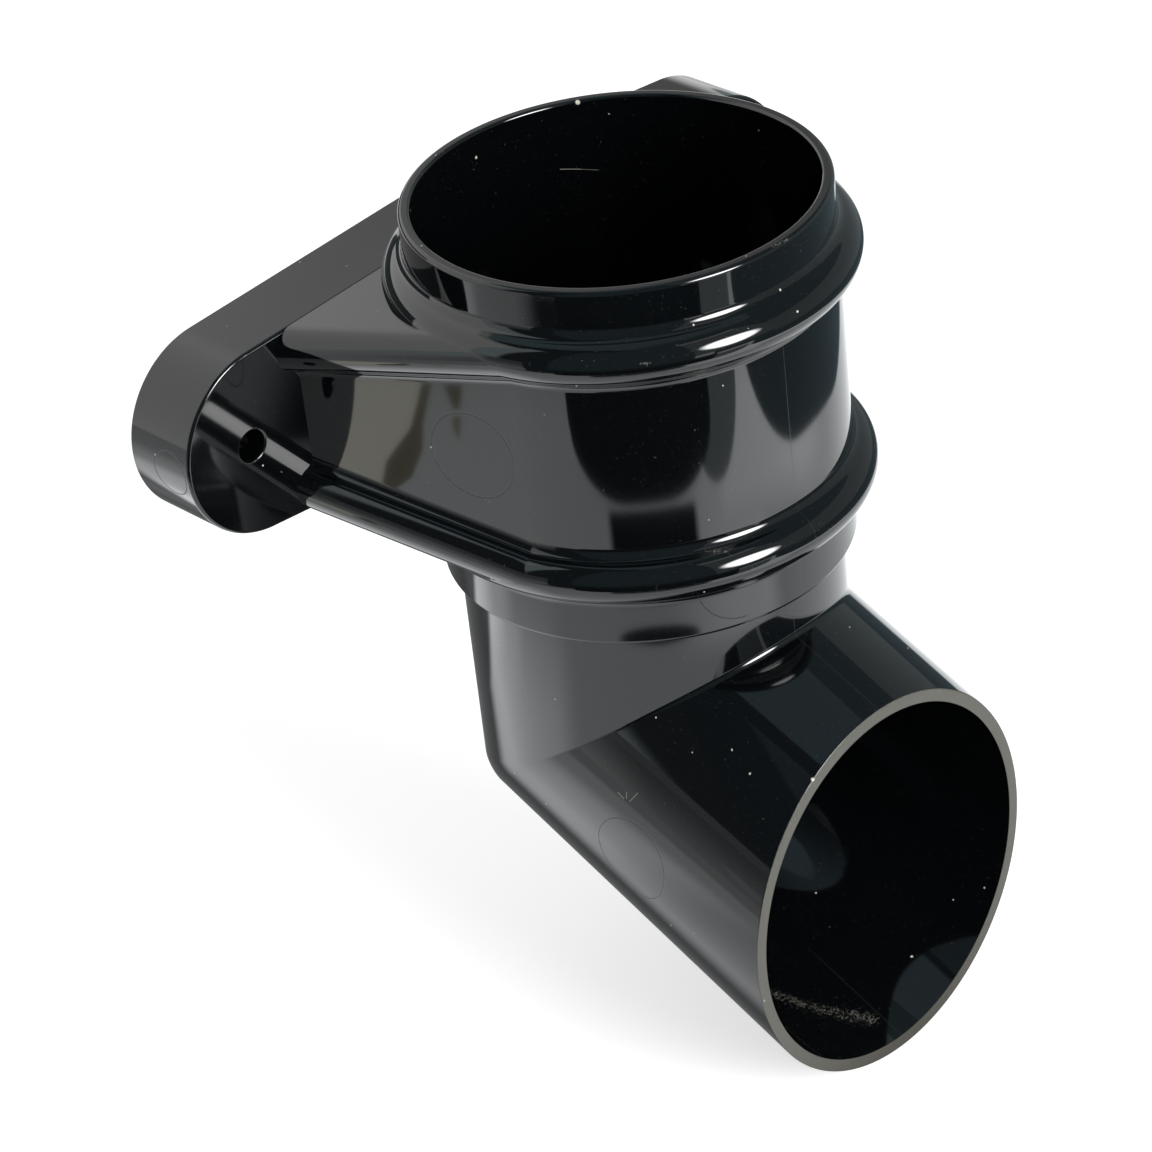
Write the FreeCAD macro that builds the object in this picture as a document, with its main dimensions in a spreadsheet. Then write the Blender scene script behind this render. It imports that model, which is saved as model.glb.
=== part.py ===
import FreeCAD, Part
import math
import os
from types import SimpleNamespace
import Sketcher

# Downpipe shoe for a 68 mm round rainwater system, moulded in one piece.
# Origin on the socket axis at the pipe seat, Z up, the wall at +Y, the outlet towards -Y. Millimetres.

DIMENSIONS = {
    # Pipe below the socket and the bend
    "pipe_radius": 34.0,
    "pipe_wall": 2.2,
    "mitre_drop": 34.4,
    "outlet_angle": 67.5,
    "outlet_reach": 52.8,
    "outlet_spare": 22.0,
    "heel_round": 8.0,
    "side_flat": 0.4,
    # Socket
    "socket_radius": 36.8,
    "socket_wall": 2.2,
    "socket_depth": 65.0,
    "rim_bevel": 0.3,
    "skirt_radius": 36.5,
    "skirt_drop": 2.6,
    # Two half-round beads, as far above as below the middle of the fixing band
    "band_height": 31.4,
    "bead_radius": 4.18,
    "bead_offset": 21.02,
    "bead_flank": 57.0,
    "bead_root": 0.5,
    "bead_lap": 20.0,
    # Back plate with a round lug at each end
    "plate_front": 32.5,
    "plate_depth": 15.0,
    "plate_shell": 2.5,
    "plate_bevel": 0.5,
    "plate_taper": 4.2,
    "lug_centre": 55.7,
    "lug_radius": 17.2,
    # Screw holes
    "hole_centre": 58.85,
    "hole_radius": 2.8,
    "hole_bevel": 0.4,
    "boss_radius": 5.5,
    # Webs that carry the beads from the socket to the plate
    "web_angle": 15.0,
    "web_taper": 9.55,
    "web_rise": 0.031,
    "web_root": 4.0,
    "web_run": 46.0,
    "web_tuck": 0.05,
    "hollow_run": 62.0,
}


class Size:
    """A number kept together with the sheet expression that it comes from."""

    def __init__(self, value, text=None):
        self.value = float(value)
        self.text = text or repr(self.value)

    @staticmethod
    def of(other):
        return other if isinstance(other, Size) else Size(other)

    def __add__(self, other):
        other = Size.of(other)
        return Size(self.value + other.value, f"({self.text} + {other.text})")

    def __sub__(self, other):
        other = Size.of(other)
        return Size(self.value - other.value, f"({self.text} - {other.text})")

    def __mul__(self, other):
        other = Size.of(other)
        return Size(self.value * other.value, f"({self.text} * {other.text})")

    def __truediv__(self, other):
        other = Size.of(other)
        return Size(self.value / other.value, f"({self.text} / {other.text})")

    def __neg__(self):
        return Size(-self.value, f"(0 - {self.text})")


def sin(angle):
    return Size(math.sin(math.radians(angle.value)), f"sin({angle.text})")


def cos(angle):
    return Size(math.cos(math.radians(angle.value)), f"cos({angle.text})")


def root(number):
    return Size(math.sqrt(number.value), f"sqrt({number.text})")


# Document, dimension sheet and body
doc = FreeCAD.newDocument("downpipe_shoe")
sheet = doc.addObject("Spreadsheet::Sheet", "dims")
for row, (name, value) in enumerate(DIMENSIONS.items(), start=1):
    sheet.set(f"A{row}", name)
    sheet.set(f"B{row}", str(value))
    sheet.setAlias(f"B{row}", name)
doc.recompute()
d = SimpleNamespace(**{name: Size(value, f"dims.{name}") for name, value in DIMENSIONS.items()})
ZERO = Size(0)

body = doc.addObject("PartDesign::Body", "downpipe_shoe")
body.Label = "downpipe_shoe"
body.Placement = FreeCAD.Placement()
origin_planes = {feature.Role: feature for feature in body.Origin.OriginFeatures}


def new_sketch(name, plane, base=(ZERO, ZERO, ZERO), turn=ZERO, tilt=ZERO):
    """A sketch on an origin plane, shifted by base, turned about its upright axis and tilted about its level one."""
    sketch = body.newObject("Sketcher::SketchObject", name)
    sketch.AttachmentSupport = [(origin_planes[plane], "")]
    sketch.MapMode = "FlatFace"
    shift = "; ".join(size.text for size in base)
    rotation = f"rotation(0; {turn.text}; {tilt.text})"
    sketch.setExpression("AttachmentOffset", f"placement(vector({shift}); {rotation})")
    return sketch


def constrain(sketch, kind, references, size):
    index = sketch.addConstraint(Sketcher.Constraint(kind, *references, size.value))
    sketch.setExpression(f"Constraints[{index}]", size.text)


def place_point(sketch, edge, end, x, y):
    """Ties one end or centre of an edge to the sheet, or to an axis where it lies on one."""
    for kind, axis, size in (("DistanceX", -2, x), ("DistanceY", -1, y)):
        if size is ZERO:
            sketch.addConstraint(Sketcher.Constraint("PointOnObject", edge, end, axis))
        else:
            constrain(sketch, kind, (-1, 1, edge, end), size)


def draw_circle(sketch, x, y, radius):
    centre = FreeCAD.Vector(x.value, y.value, 0)
    edge = sketch.addGeometry(Part.Circle(centre, FreeCAD.Vector(0, 0, 1), radius.value))
    place_point(sketch, edge, 3, x, y)
    constrain(sketch, "Radius", (edge,), radius)


def arc_between(start, end, radius, anticlockwise):
    """The arc of less than half a turn from start to end."""
    chord = end - start
    half = chord.Length / 2
    lift = math.sqrt(radius * radius - half * half)
    side = FreeCAD.Vector(-chord.y, chord.x, 0).normalize()
    centre = (start + end) / 2 + side * (lift if anticlockwise else -lift)
    first, last = (start, end) if anticlockwise else (end, start)
    angles = [math.atan2(point.y - centre.y, point.x - centre.x) for point in (first, last)]
    return Part.ArcOfCircle(Part.Circle(centre, FreeCAD.Vector(0, 0, 1), radius), *angles)


def draw_chain(sketch, corners, closed=True):
    """Edges from corner to corner: (x, y), or (x, y, radius, anticlockwise) where an arc leads there."""
    points = [FreeCAD.Vector(corner[0].value, corner[1].value, 0) for corner in corners]
    ends = []
    for number, corner in enumerate(corners):
        if number == 0 and not closed:
            continue
        start = points[number - 1]
        if len(corner) == 2:
            edge = sketch.addGeometry(Part.LineSegment(start, points[number]))
            ends.append((edge, 1, 2, corner))
            continue
        edge = sketch.addGeometry(arc_between(start, points[number], corner[2].value, corner[3]))
        constrain(sketch, "Radius", (edge,), corner[2])
        ends.append((edge, 1, 2, corner) if corner[3] else (edge, 2, 1, corner))
    for number, (edge, first, last, corner) in enumerate(ends):
        place_point(sketch, edge, last, corner[0], corner[1])
        if number or closed:
            before = ends[number - 1]
            sketch.addConstraint(Sketcher.Constraint("Coincident", before[0], before[2], edge, first))
        else:
            place_point(sketch, edge, first, corners[0][0], corners[0][1])


def add_feature(kind, name, **settings):
    """Adds a feature, sets its properties, and makes sure that it changed the body."""
    before = body.Shape.Volume if body.Tip else 0.0
    feature = body.newObject(f"PartDesign::{kind}", name)
    for key, setting in settings.items():
        if isinstance(setting, Size):
            feature.setExpression(key, setting.text)
        else:
            setattr(feature, key, setting)
    body.Tip = feature
    doc.recompute()
    shape = feature.Shape
    if "Invalid" in feature.State or "Error" in feature.State or shape.isNull() or not shape.isValid():
        raise RuntimeError(f"{name} failed: {feature.State}")
    if abs(shape.Volume - before) < 1e-3:
        raise RuntimeError(f"{name} changes nothing")
    return feature


def edges_where(feature, test):
    """Names of the edges of a feature that pass a test."""
    return [f"Edge{number}" for number, edge in enumerate(feature.Shape.Edges, start=1) if test(edge)]


def plate_outline(inset):
    """The lozenge of the back plate, with a lug at each end, drawn inwards by inset."""
    radius = d.lug_radius - inset
    touch_x = d.lug_centre + radius * sin(d.plate_taper)
    touch_y = radius * cos(d.plate_taper)
    peak = (radius + d.lug_centre * sin(d.plate_taper)) / cos(d.plate_taper)
    return [
        (ZERO, -peak),
        (touch_x, -touch_y),
        (touch_x, touch_y, radius, True),
        (ZERO, peak),
        (-touch_x, touch_y),
        (-touch_x, -touch_y, radius, True),
    ]


# Back plate with its bevelled front edge
at_plate_front = (ZERO, d.band_height, -d.plate_front)
at_wall = (ZERO, d.band_height, -(d.plate_front + d.plate_depth))
plate_sketch = new_sketch("plate_sketch", "XZ_Plane", at_plate_front)
draw_chain(plate_sketch, plate_outline(ZERO))
plate = add_feature("Pad", "plate", Profile=plate_sketch, Length=d.plate_depth, Reversed=True)


def on_plate_front(edge):
    return all(abs(vertex.Y - d.plate_front.value) < 1e-4 for vertex in edge.Vertexes)


add_feature("Chamfer", "plate_bevel", Base=(plate, edges_where(plate, on_plate_front)), Size=d.plate_bevel)


# Webs: the wall leaves the socket at a tangent, and top and bottom draw together towards the plate
web_wall = d.socket_radius - d.web_tuck
web_slope = sin(d.web_taper) / cos(d.web_taper)
root_rise = (d.socket_radius - d.web_root) * d.web_rise
mirror_plane = (origin_planes["YZ_Plane"], [""])


def add_web_block(kind, name, inset, run_end):
    """Lofts the right-hand web, or its hollow, between two sections square to its wall."""
    sections = []
    for end, run in (("start", ZERO), ("end", run_end)):
        base = (run * sin(d.web_angle), d.band_height, -(run * cos(d.web_angle)))
        section = new_sketch(f"{name}_{end}", "XZ_Plane", base, -d.web_angle)
        top = d.bead_offset + d.bead_radius / cos(d.web_taper) - inset - run * web_slope
        wall = d.socket_radius - inset
        draw_chain(section, [
            (d.web_root, -(top + root_rise)),
            (wall, -top),
            (wall, top),
            (d.web_root, top + root_rise),
        ])
        sections.append(section)
    doc.recompute()
    return add_feature(kind, name, Profile=sections[0], Sections=sections[1:], Ruled=True)


# A bead is round at its crest and has straight flanks that run down to the wall
flank_x = d.bead_radius * cos(d.bead_flank)
flank_z = d.bead_radius * sin(d.bead_flank)


def foot_of_bead(depth):
    """Height, from the middle of a bead, at which its flank is this deep below the socket wall."""
    return flank_z + (flank_x + depth) * cos(d.bead_flank) / sin(d.bead_flank)


def add_web_bead(name, up):
    """The straight bead along the top (up is 1) or bottom (up is -1) of the right-hand web."""
    base = (ZERO, d.band_height + d.bead_offset * up, ZERO)
    sketch = new_sketch(f"{name}_sketch", "XZ_Plane", base, -d.web_angle, d.web_taper * -up)
    draw_chain(sketch, [
        (web_wall - d.bead_root, -foot_of_bead(d.bead_root) * up),
        (web_wall + flank_x, -flank_z * up),
        (web_wall - d.bead_radius * sin(d.bead_lap), d.bead_radius * cos(d.bead_lap) * up, d.bead_radius, up > 0),
    ])
    doc.recompute()
    return add_feature("Pad", name, Profile=sketch, Length=d.web_run / cos(d.web_taper), Reversed=True)


web_pieces = [
    add_web_block("AdditiveLoft", "web", d.web_tuck, d.web_run),
    add_web_bead("web_bead_upper", 1),
    add_web_bead("web_bead_lower", -1),
]
add_feature("Mirrored", "web_left", Originals=web_pieces, MirrorPlane=mirror_plane)

# Hollow back of the plate, with a boss round each screw hole
hollow_sketch = new_sketch("plate_hollow_sketch", "XZ_Plane", at_wall)
draw_chain(hollow_sketch, plate_outline(d.plate_shell))
for side in (d.hole_centre, -d.hole_centre):
    draw_circle(hollow_sketch, side, ZERO, d.boss_radius)
doc.recompute()
add_feature(
    "Pocket", "plate_hollow", Profile=hollow_sketch, Length=d.plate_depth - d.plate_shell, Reversed=True
)

# Hollow of the webs, one shell thickness from wall, top and bottom
web_hollow = add_web_block("SubtractiveLoft", "web_hollow", d.plate_shell, d.hollow_run)
add_feature("Mirrored", "web_hollow_left", Originals=[web_hollow], MirrorPlane=mirror_plane)

# Socket and beads, turned solid, so that the socket wall closes the front of the hollow
lower = d.band_height - d.bead_offset
upper = d.band_height + d.bead_offset
wall = d.socket_radius
wall_foot = foot_of_bead(ZERO)
socket_sketch = new_sketch("socket_sketch", "XZ_Plane")
draw_chain(socket_sketch, [
    (ZERO, -d.skirt_drop),
    (d.skirt_radius, -d.skirt_drop),
    (d.skirt_radius, lower - foot_of_bead(d.socket_radius - d.skirt_radius)),
    (wall + flank_x, lower - flank_z),
    (wall + flank_x, lower + flank_z, d.bead_radius, True),
    (wall, lower + wall_foot),
    (wall, upper - wall_foot),
    (wall + flank_x, upper - flank_z),
    (wall + flank_x, upper + flank_z, d.bead_radius, True),
    (wall, upper + wall_foot),
    (wall, d.socket_depth - d.rim_bevel),
    (wall - d.rim_bevel, d.socket_depth),
    (ZERO, d.socket_depth),
])
doc.recompute()
add_feature(
    "Revolution", "socket", Profile=socket_sketch, ReferenceAxis=(socket_sketch, ["V_Axis"]), Angle=360.0
)


# Bent pipe: the centre line runs from the seat down to the mitre and out beyond the cut end
bend_path = new_sketch("bend_path", "YZ_Plane")
path_reach = d.outlet_reach + d.outlet_spare
path_fall = path_reach * cos(d.outlet_angle) / sin(d.outlet_angle)
draw_chain(bend_path, [
    (ZERO, ZERO),
    (ZERO, -d.mitre_drop),
    (-path_reach, -(d.mitre_drop + path_fall)),
], closed=False)
bend = {"Spine": (bend_path, ["Edge1", "Edge2"]), "Transition": "Right corner"}

# The pipe is swept with its sides cut flat, because a fillet can't follow the mitre to where it runs out there
flat_x = d.pipe_radius - d.side_flat
flat_y = root(d.pipe_radius * d.pipe_radius - flat_x * flat_x)
pipe_sketch = new_sketch("pipe_sketch", "XY_Plane")
draw_chain(pipe_sketch, [
    (flat_x, flat_y),
    (-flat_x, flat_y, d.pipe_radius, True),
    (-flat_x, -flat_y),
    (flat_x, -flat_y, d.pipe_radius, True),
])
doc.recompute()
pipe = add_feature("AdditivePipe", "pipe", Profile=pipe_sketch, **bend)
mitre_centre = FreeCAD.Vector(0, 0, -d.mitre_drop.value)


def on_heel(edge):
    if edge.Curve.TypeId != "Part::GeomEllipse" or edge.CenterOfMass.y < 0:
        return False
    off_centre = (edge.Curve.Center - mitre_centre).Length
    return off_centre < 1e-3 and abs(edge.Curve.MinorRadius - d.pipe_radius.value) < 1e-3


add_feature("Fillet", "heel", Base=(pipe, edges_where(pipe, on_heel)), Radius=d.heel_round)

# The round sides are swept after the heel is rounded
side_sketch = new_sketch("pipe_side_sketch", "XY_Plane")
draw_chain(side_sketch, [(flat_x, -flat_y), (flat_x, flat_y, d.pipe_radius, True)])
draw_chain(side_sketch, [(-flat_x, flat_y), (-flat_x, -flat_y, d.pipe_radius, True)])
doc.recompute()
add_feature("AdditivePipe", "pipe_sides", Profile=side_sketch, **bend)

# Outlet cut off parallel to the wall
end_sketch = new_sketch("outlet_end_sketch", "XZ_Plane", (ZERO, -d.mitre_drop, d.outlet_reach))
reach = d.pipe_radius * 3
draw_chain(end_sketch, [(-reach, -reach), (reach, -reach), (reach, reach), (-reach, reach)])
doc.recompute()
add_feature("Pocket", "outlet_end", Profile=end_sketch, Length=reach, Reversed=True)

# Socket bore down to the seat, with a bevelled mouth
bore_sketch = new_sketch("bore_sketch", "XY_Plane", (ZERO, ZERO, d.socket_depth))
draw_circle(bore_sketch, ZERO, ZERO, d.socket_radius - d.socket_wall)
doc.recompute()
socket_bore = add_feature("Pocket", "socket_bore", Profile=bore_sketch, Length=d.socket_depth)


def on_mouth(edge):
    at_rim = all(abs(vertex.Z - d.socket_depth.value) < 1e-4 for vertex in edge.Vertexes)
    return at_rim and edge.BoundBox.XMax < d.socket_radius.value - d.rim_bevel.value - 1e-3


add_feature("Chamfer", "mouth_bevel", Base=(socket_bore, edges_where(socket_bore, on_mouth)), Size=d.rim_bevel)

# Bent bore below the seat, mitred where the two core pins of the mould meet
water_sketch = new_sketch("water_sketch", "XY_Plane")
draw_circle(water_sketch, ZERO, ZERO, d.pipe_radius - d.pipe_wall)
doc.recompute()
add_feature("SubtractivePipe", "water_bore", Profile=water_sketch, **bend)

# Screw holes through lugs and bosses
hole_sketch = new_sketch("hole_sketch", "XZ_Plane", at_wall)
for side in (d.hole_centre, -d.hole_centre):
    draw_circle(hole_sketch, side, ZERO, d.hole_radius)
doc.recompute()
holes = add_feature("Pocket", "screw_holes", Profile=hole_sketch, Length=d.plate_depth, Reversed=True)


def on_hole_front(edge):
    if edge.Curve.TypeId != "Part::GeomCircle" or not on_plate_front(edge):
        return False
    return abs(edge.Curve.Radius - d.hole_radius.value) < 1e-4


add_feature("Chamfer", "hole_bevel", Base=(holes, edges_where(holes, on_hole_front)), Size=d.hole_bevel)

# Check and write
shape = body.Shape
if len(shape.Solids) != 1 or not shape.isValid():
    raise RuntimeError(f"the body has {len(shape.Solids)} solids")
os.makedirs("parts", exist_ok=True)
shape.exportStep("parts/downpipe_shoe.step")
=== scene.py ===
import math

import bpy
from mathutils import Matrix, Vector


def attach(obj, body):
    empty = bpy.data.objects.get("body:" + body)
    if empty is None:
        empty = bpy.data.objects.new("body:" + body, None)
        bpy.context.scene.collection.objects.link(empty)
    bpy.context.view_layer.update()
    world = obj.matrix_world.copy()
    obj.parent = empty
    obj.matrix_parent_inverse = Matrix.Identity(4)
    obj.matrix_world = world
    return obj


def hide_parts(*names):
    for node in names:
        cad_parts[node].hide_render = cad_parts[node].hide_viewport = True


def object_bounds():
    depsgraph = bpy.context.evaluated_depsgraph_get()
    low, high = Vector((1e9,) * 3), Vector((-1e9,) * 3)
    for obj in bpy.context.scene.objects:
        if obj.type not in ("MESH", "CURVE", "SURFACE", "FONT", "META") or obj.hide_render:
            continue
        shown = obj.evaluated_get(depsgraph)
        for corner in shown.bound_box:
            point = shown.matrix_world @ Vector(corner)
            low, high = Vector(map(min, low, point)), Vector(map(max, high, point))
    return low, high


# Looks of the moulded downpipe shoe. Shapes are drawn in millimetres and made in metres, in the CAD's frame.

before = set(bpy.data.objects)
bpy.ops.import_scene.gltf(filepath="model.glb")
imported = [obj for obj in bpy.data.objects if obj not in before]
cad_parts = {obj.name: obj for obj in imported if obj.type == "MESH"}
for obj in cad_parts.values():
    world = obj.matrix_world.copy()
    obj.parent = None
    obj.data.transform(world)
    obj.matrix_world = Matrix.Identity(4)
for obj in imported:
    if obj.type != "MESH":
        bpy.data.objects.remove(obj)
cad_box = [list(corner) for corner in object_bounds()]
MM = 0.001

# Sizes of the moulding in millimetres, and its angles: those of the part's source, with small rounds added
SOCKET_RADIUS = 36.8
SOCKET_TOP = 65.0
BORE_RADIUS = 34.6
RIM_ROUND = 0.8
MOUTH_ROUND = 0.6
SKIRT_RADIUS = 36.5
SKIRT_ROUND = 0.8
BAND_HEIGHT = 31.4
BEAD_RADIUS = 4.18
BEAD_OFFSET = 21.02
BEAD_FOOT = 2.2
PLATE_FRONT = 32.5
PLATE_BACK = 47.5
PLATE_SHELL = 2.5
PLATE_ROUND = 0.6
PLATE_TAPER = math.radians(4.2)
LUG_CENTRE = 55.7
LUG_RADIUS = 17.2
HOLE_CENTRE = 58.85
HOLE_RADIUS = 2.8
HOLE_ROUND = 0.4
BOSS_RADIUS = 5.5
BOSS_TUCK = 1.0
WEB_ANGLE = math.radians(15)
WEB_TAPER = math.radians(9.55)
WEB_RISE = 0.031
WEB_ROOT = 4.0
WEB_RUNS = (2.4, 5.0, 46.0)
WEB_TUCK = 0.02
HOLLOW_RUN = 62.0
PIPE_RADIUS = 34.0
PIPE_TOP = 6.0
PIPE_RUN = 130.0
WATER_RADIUS = 31.8
WATER_TOP = 1.0
WATER_RUN = 150.0
MITRE_DROP = 34.4
MITRE_TILT = math.radians(33.75)
OUTLET_ANGLE = math.radians(67.5)
OUTLET_REACH = 52.8
OUTLET_ROUND = 0.2
HEEL_ROUND = 9.0
CROTCH_ROUND = 1.2

# The skirt hangs half a millimetre lower than in the part's source, as the photograph shows it
SKIRT_DROP = 3.1

# How far the cutting tools stand out, in millimetres
MOUTH_OVERCUT = 5.0
HOLE_OVERCUT = 2.0

# Steps of the rounds
ROUND_STEPS = 256
BORE_STEPS = 240
BEAD_STEPS = 26
WEB_BEAD_STEPS = 24
FOOT_STEPS = 10
SKIRT_STEPS = 6
EDGE_STEPS = 5
LUG_STEPS = 96
HOLE_STEPS = 64
HOLE_ROUND_STEPS = 4
OUTLET_STEPS = 3
HEEL_STEPS = 12

# Gap over which doubled vertices are joined, and length under which an edge is dissolved, in metres
MERGE_GAP = 0.002 * MM
HAIR = 0.001 * MM

# Points this near a plane lie on it, and points this near each other are the same one, in millimetres
ON_PLANE = 0.01
SAME_POINT = 0.05

# Faces that meet at less than this angle are shaded as one round
SMOOTH_ANGLE = math.radians(28)


def only(piece):
    """Makes a piece the only selected and active object."""
    bpy.ops.object.select_all(action="DESELECT")
    piece.select_set(True)
    bpy.context.view_layer.objects.active = piece


def start_piece(name, point):
    """A new object in edit mode that holds one selected vertex at a point in metres."""
    bpy.ops.object.select_all(action="DESELECT")
    bpy.ops.mesh.primitive_plane_add(size=MM, location=point)
    piece = bpy.context.active_object
    piece.name = name
    bpy.ops.object.transform_apply(location=True, rotation=False, scale=False)
    bpy.ops.object.mode_set(mode="EDIT")
    bpy.ops.mesh.select_mode(type="VERT")
    bpy.ops.mesh.select_all(action="SELECT")
    bpy.ops.mesh.merge(type="CENTER")
    return piece


class Pen:
    """Draws an outline from one vertex: straight runs are extruded, and rounds are spun."""

    def __init__(self, name, start, across=(1, 0, 0), up=(0, 0, 1), base=(0, 0, 0)):
        self.across = Vector(across)
        self.up = Vector(up)
        self.base = Vector(base)
        self.at = Vector(start)
        self.piece = start_piece(name, self.place(self.at))

    def place(self, point):
        return (self.base + self.across * point[0] + self.up * point[1]) * MM

    def line(self, *points):
        for point in points:
            step = self.place(point) - self.place(self.at)
            bpy.ops.mesh.extrude_vertices_move(TRANSFORM_OT_translate={"value": step})
            self.at = Vector(point)

    def round(self, centre, degrees, steps):
        angle = math.radians(degrees)
        axis = self.across.cross(self.up)
        bpy.ops.mesh.spin(steps=steps, angle=-angle, center=self.place(centre), axis=axis)
        arm = self.at - Vector(centre)
        self.at = Vector(centre) + Matrix.Rotation(angle, 2) @ arm

    def close(self):
        """Fills the outline with one face and leaves it selected."""
        bpy.ops.mesh.select_all(action="SELECT")
        bpy.ops.mesh.remove_doubles(threshold=MERGE_GAP)
        bpy.ops.mesh.edge_face_add()
        return self.piece

    def turn(self, centre=(0, 0, 0), axis=(0, 0, 1), steps=ROUND_STEPS):
        """Turns the outline round an axis, the socket's unless told otherwise, into a closed body."""
        bpy.ops.mesh.select_all(action="SELECT")
        bpy.ops.mesh.spin(steps=steps, angle=math.tau, center=Vector(centre) * MM, axis=axis)
        bpy.ops.mesh.select_all(action="SELECT")
        bpy.ops.mesh.remove_doubles(threshold=MERGE_GAP)
        bpy.ops.mesh.fill_holes(sides=0)
        finish_body()
        return self.piece


def finish_body():
    """Joins doubled vertices, turns all faces outwards and leaves edit mode."""
    bpy.ops.mesh.select_all(action="SELECT")
    bpy.ops.mesh.remove_doubles(threshold=MERGE_GAP)
    bpy.ops.mesh.normals_make_consistent(inside=False)
    bpy.ops.object.mode_set(mode="OBJECT")


def push(vector):
    """Extrudes what is selected along a vector in millimetres."""
    bpy.ops.mesh.extrude_region_move(TRANSFORM_OT_translate={"value": Vector(vector) * MM})


def apply_all(piece):
    only(piece)
    for modifier in list(piece.modifiers):
        bpy.ops.object.modifier_apply(modifier=modifier.name)
    return piece


def combine(piece, tool, operation):
    """Joins or cuts a piece with a tool, which is used up."""
    modifier = piece.modifiers.new("combine", "BOOLEAN")
    modifier.operation = operation
    modifier.solver = "EXACT"
    modifier.object = tool
    apply_all(piece)
    bpy.data.objects.remove(tool)


def bead_foot(wall):
    """Angle round the bead in degrees, and height from its middle, at which its foot meets a wall."""
    across = wall + BEAD_FOOT - SOCKET_RADIUS
    reach = BEAD_RADIUS + BEAD_FOOT
    return math.degrees(math.acos(across / reach)), math.sqrt(reach * reach - across * across)


def select_where(piece, test, kind="verts"):
    """Selects the vertices or edges of a mesh in edit mode whose places in millimetres pass a test."""
    bpy.ops.mesh.select_all(action="DESELECT")
    bpy.ops.object.mode_set(mode="OBJECT")
    mesh = piece.data
    if kind == "verts":
        for vertex in mesh.vertices:
            vertex.select = test(vertex.co / MM)
    else:
        for edge in mesh.edges:
            ends = [mesh.vertices[number].co / MM for number in edge.vertices]
            edge.select = all(test(end) for end in ends)
    bpy.ops.object.mode_set(mode="EDIT")


# Socket: skirt, two beads with rounded feet, straight wall and rim, turned in one
def make_socket():
    low = BAND_HEIGHT - BEAD_OFFSET
    high = BAND_HEIGHT + BEAD_OFFSET
    skirt_angle, skirt_foot = bead_foot(SKIRT_RADIUS)
    wall_angle, wall_foot = bead_foot(SOCKET_RADIUS)
    pen = Pen("shoe_socket", (SKIRT_RADIUS - SKIRT_ROUND, -SKIRT_DROP))
    pen.round((SKIRT_RADIUS - SKIRT_ROUND, SKIRT_ROUND - SKIRT_DROP), 90, SKIRT_STEPS)
    pen.line((SKIRT_RADIUS, low - skirt_foot))
    pen.round((SKIRT_RADIUS + BEAD_FOOT, low - skirt_foot), -skirt_angle, FOOT_STEPS)
    pen.round((SOCKET_RADIUS, low), skirt_angle + wall_angle, BEAD_STEPS)
    pen.round((SOCKET_RADIUS + BEAD_FOOT, low + wall_foot), -wall_angle, FOOT_STEPS)
    pen.line((SOCKET_RADIUS, high - wall_foot))
    pen.round((SOCKET_RADIUS + BEAD_FOOT, high - wall_foot), -wall_angle, FOOT_STEPS)
    pen.round((SOCKET_RADIUS, high), 2 * wall_angle, BEAD_STEPS)
    pen.round((SOCKET_RADIUS + BEAD_FOOT, high + wall_foot), -wall_angle, FOOT_STEPS)
    pen.line((SOCKET_RADIUS, SOCKET_TOP - RIM_ROUND))
    pen.round((SOCKET_RADIUS - RIM_ROUND, SOCKET_TOP - RIM_ROUND), 90, EDGE_STEPS)
    return pen.turn()


# Inside of the socket, down to the seat for the pipe, with a rounded mouth
def make_socket_bore():
    pen = Pen("socket_bore", (BORE_RADIUS, 0))
    pen.line((BORE_RADIUS, SOCKET_TOP - MOUTH_ROUND))
    pen.round((BORE_RADIUS + MOUTH_ROUND, SOCKET_TOP - MOUTH_ROUND), -90, EDGE_STEPS)
    pen.line((BORE_RADIUS + MOUTH_ROUND, SOCKET_TOP + MOUTH_OVERCUT))
    return pen.turn(steps=BORE_STEPS)


def mirror_across(piece):
    """Adds the left-hand twin of a right-hand piece."""
    modifier = piece.modifiers.new("left_hand", "MIRROR")
    modifier.use_mirror_merge = False
    return apply_all(piece)


# Webs: one outline with both beads is drawn square to the wall and drawn out towards the plate
WEB_ACROSS = Vector((math.cos(WEB_ANGLE), -math.sin(WEB_ANGLE), 0))
WEB_ALONG = Vector((math.sin(WEB_ANGLE), math.cos(WEB_ANGLE), 0))


def draw_out_web(pen, runs):
    """Draws a web's outline out to each run in turn, its upper and lower halves coming together."""
    piece = pen.close()
    done = 0
    for run in runs:
        push(WEB_ALONG * (run - done))
        done = run
    for run in runs:
        fall = run * math.tan(WEB_TAPER) * MM
        for side in (1, -1):
            select_where(
                piece,
                lambda co: abs(co.dot(WEB_ALONG) - run) < ON_PLANE and (co.z - BAND_HEIGHT) * side > 0,
            )
            bpy.ops.transform.translate(value=(0, 0, -side * fall))
    finish_body()
    return mirror_across(piece)


def make_webs():
    angle, foot = bead_foot(SOCKET_RADIUS)
    wall = SOCKET_RADIUS - WEB_TUCK
    top = BEAD_OFFSET + BEAD_RADIUS
    root = top + WEB_RISE * (wall - WEB_ROOT)
    pen = Pen("shoe_webs", (WEB_ROOT, root), across=WEB_ACROSS, base=(0, 0, BAND_HEIGHT))
    pen.line((wall, top))
    pen.round((wall, BEAD_OFFSET), -90 - angle, WEB_BEAD_STEPS)
    pen.round((wall + BEAD_FOOT, BEAD_OFFSET - foot), angle, FOOT_STEPS)
    pen.line((wall, foot - BEAD_OFFSET))
    pen.round((wall + BEAD_FOOT, foot - BEAD_OFFSET), angle, FOOT_STEPS)
    pen.round((wall, -BEAD_OFFSET), -90 - angle, WEB_BEAD_STEPS)
    pen.line((WEB_ROOT, -root))
    return draw_out_web(pen, WEB_RUNS)


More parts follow.
